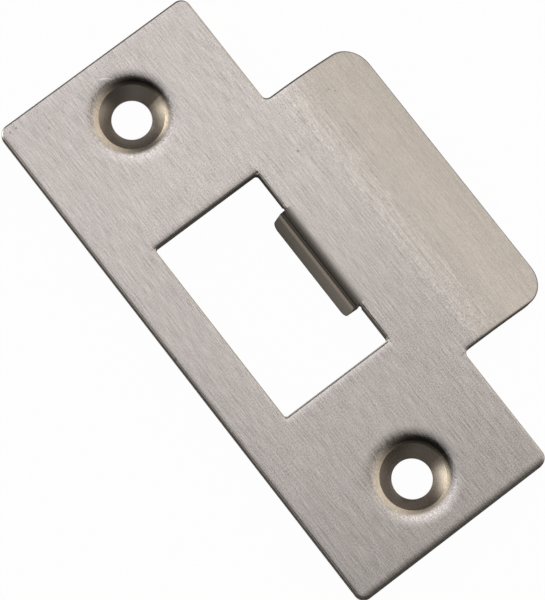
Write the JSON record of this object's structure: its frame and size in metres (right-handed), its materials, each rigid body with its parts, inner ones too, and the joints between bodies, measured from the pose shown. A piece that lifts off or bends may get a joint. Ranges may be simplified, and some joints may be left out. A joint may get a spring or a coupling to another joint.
{
  "type": "door strike plate",
  "caption": "Flat pressed metal strike plate with a rectangular latch hole, a bent tab, sunk screw holes and a curved lead-in lip.",
  "frame": {"origin": "middle of the two screw holes, on the back of the plate", "axes": "+Z out of the visible face, +Y along the plate, +X towards the lip"},
  "size_m": [0.0331, 0.057, 0.0036],
  "materials": {
    "brushed_metal": "satin, brushed along the plate"
  },
  "bodies": {
    "root": {"strike_plate": "brushed_metal"}
  },
  "joints": []
}
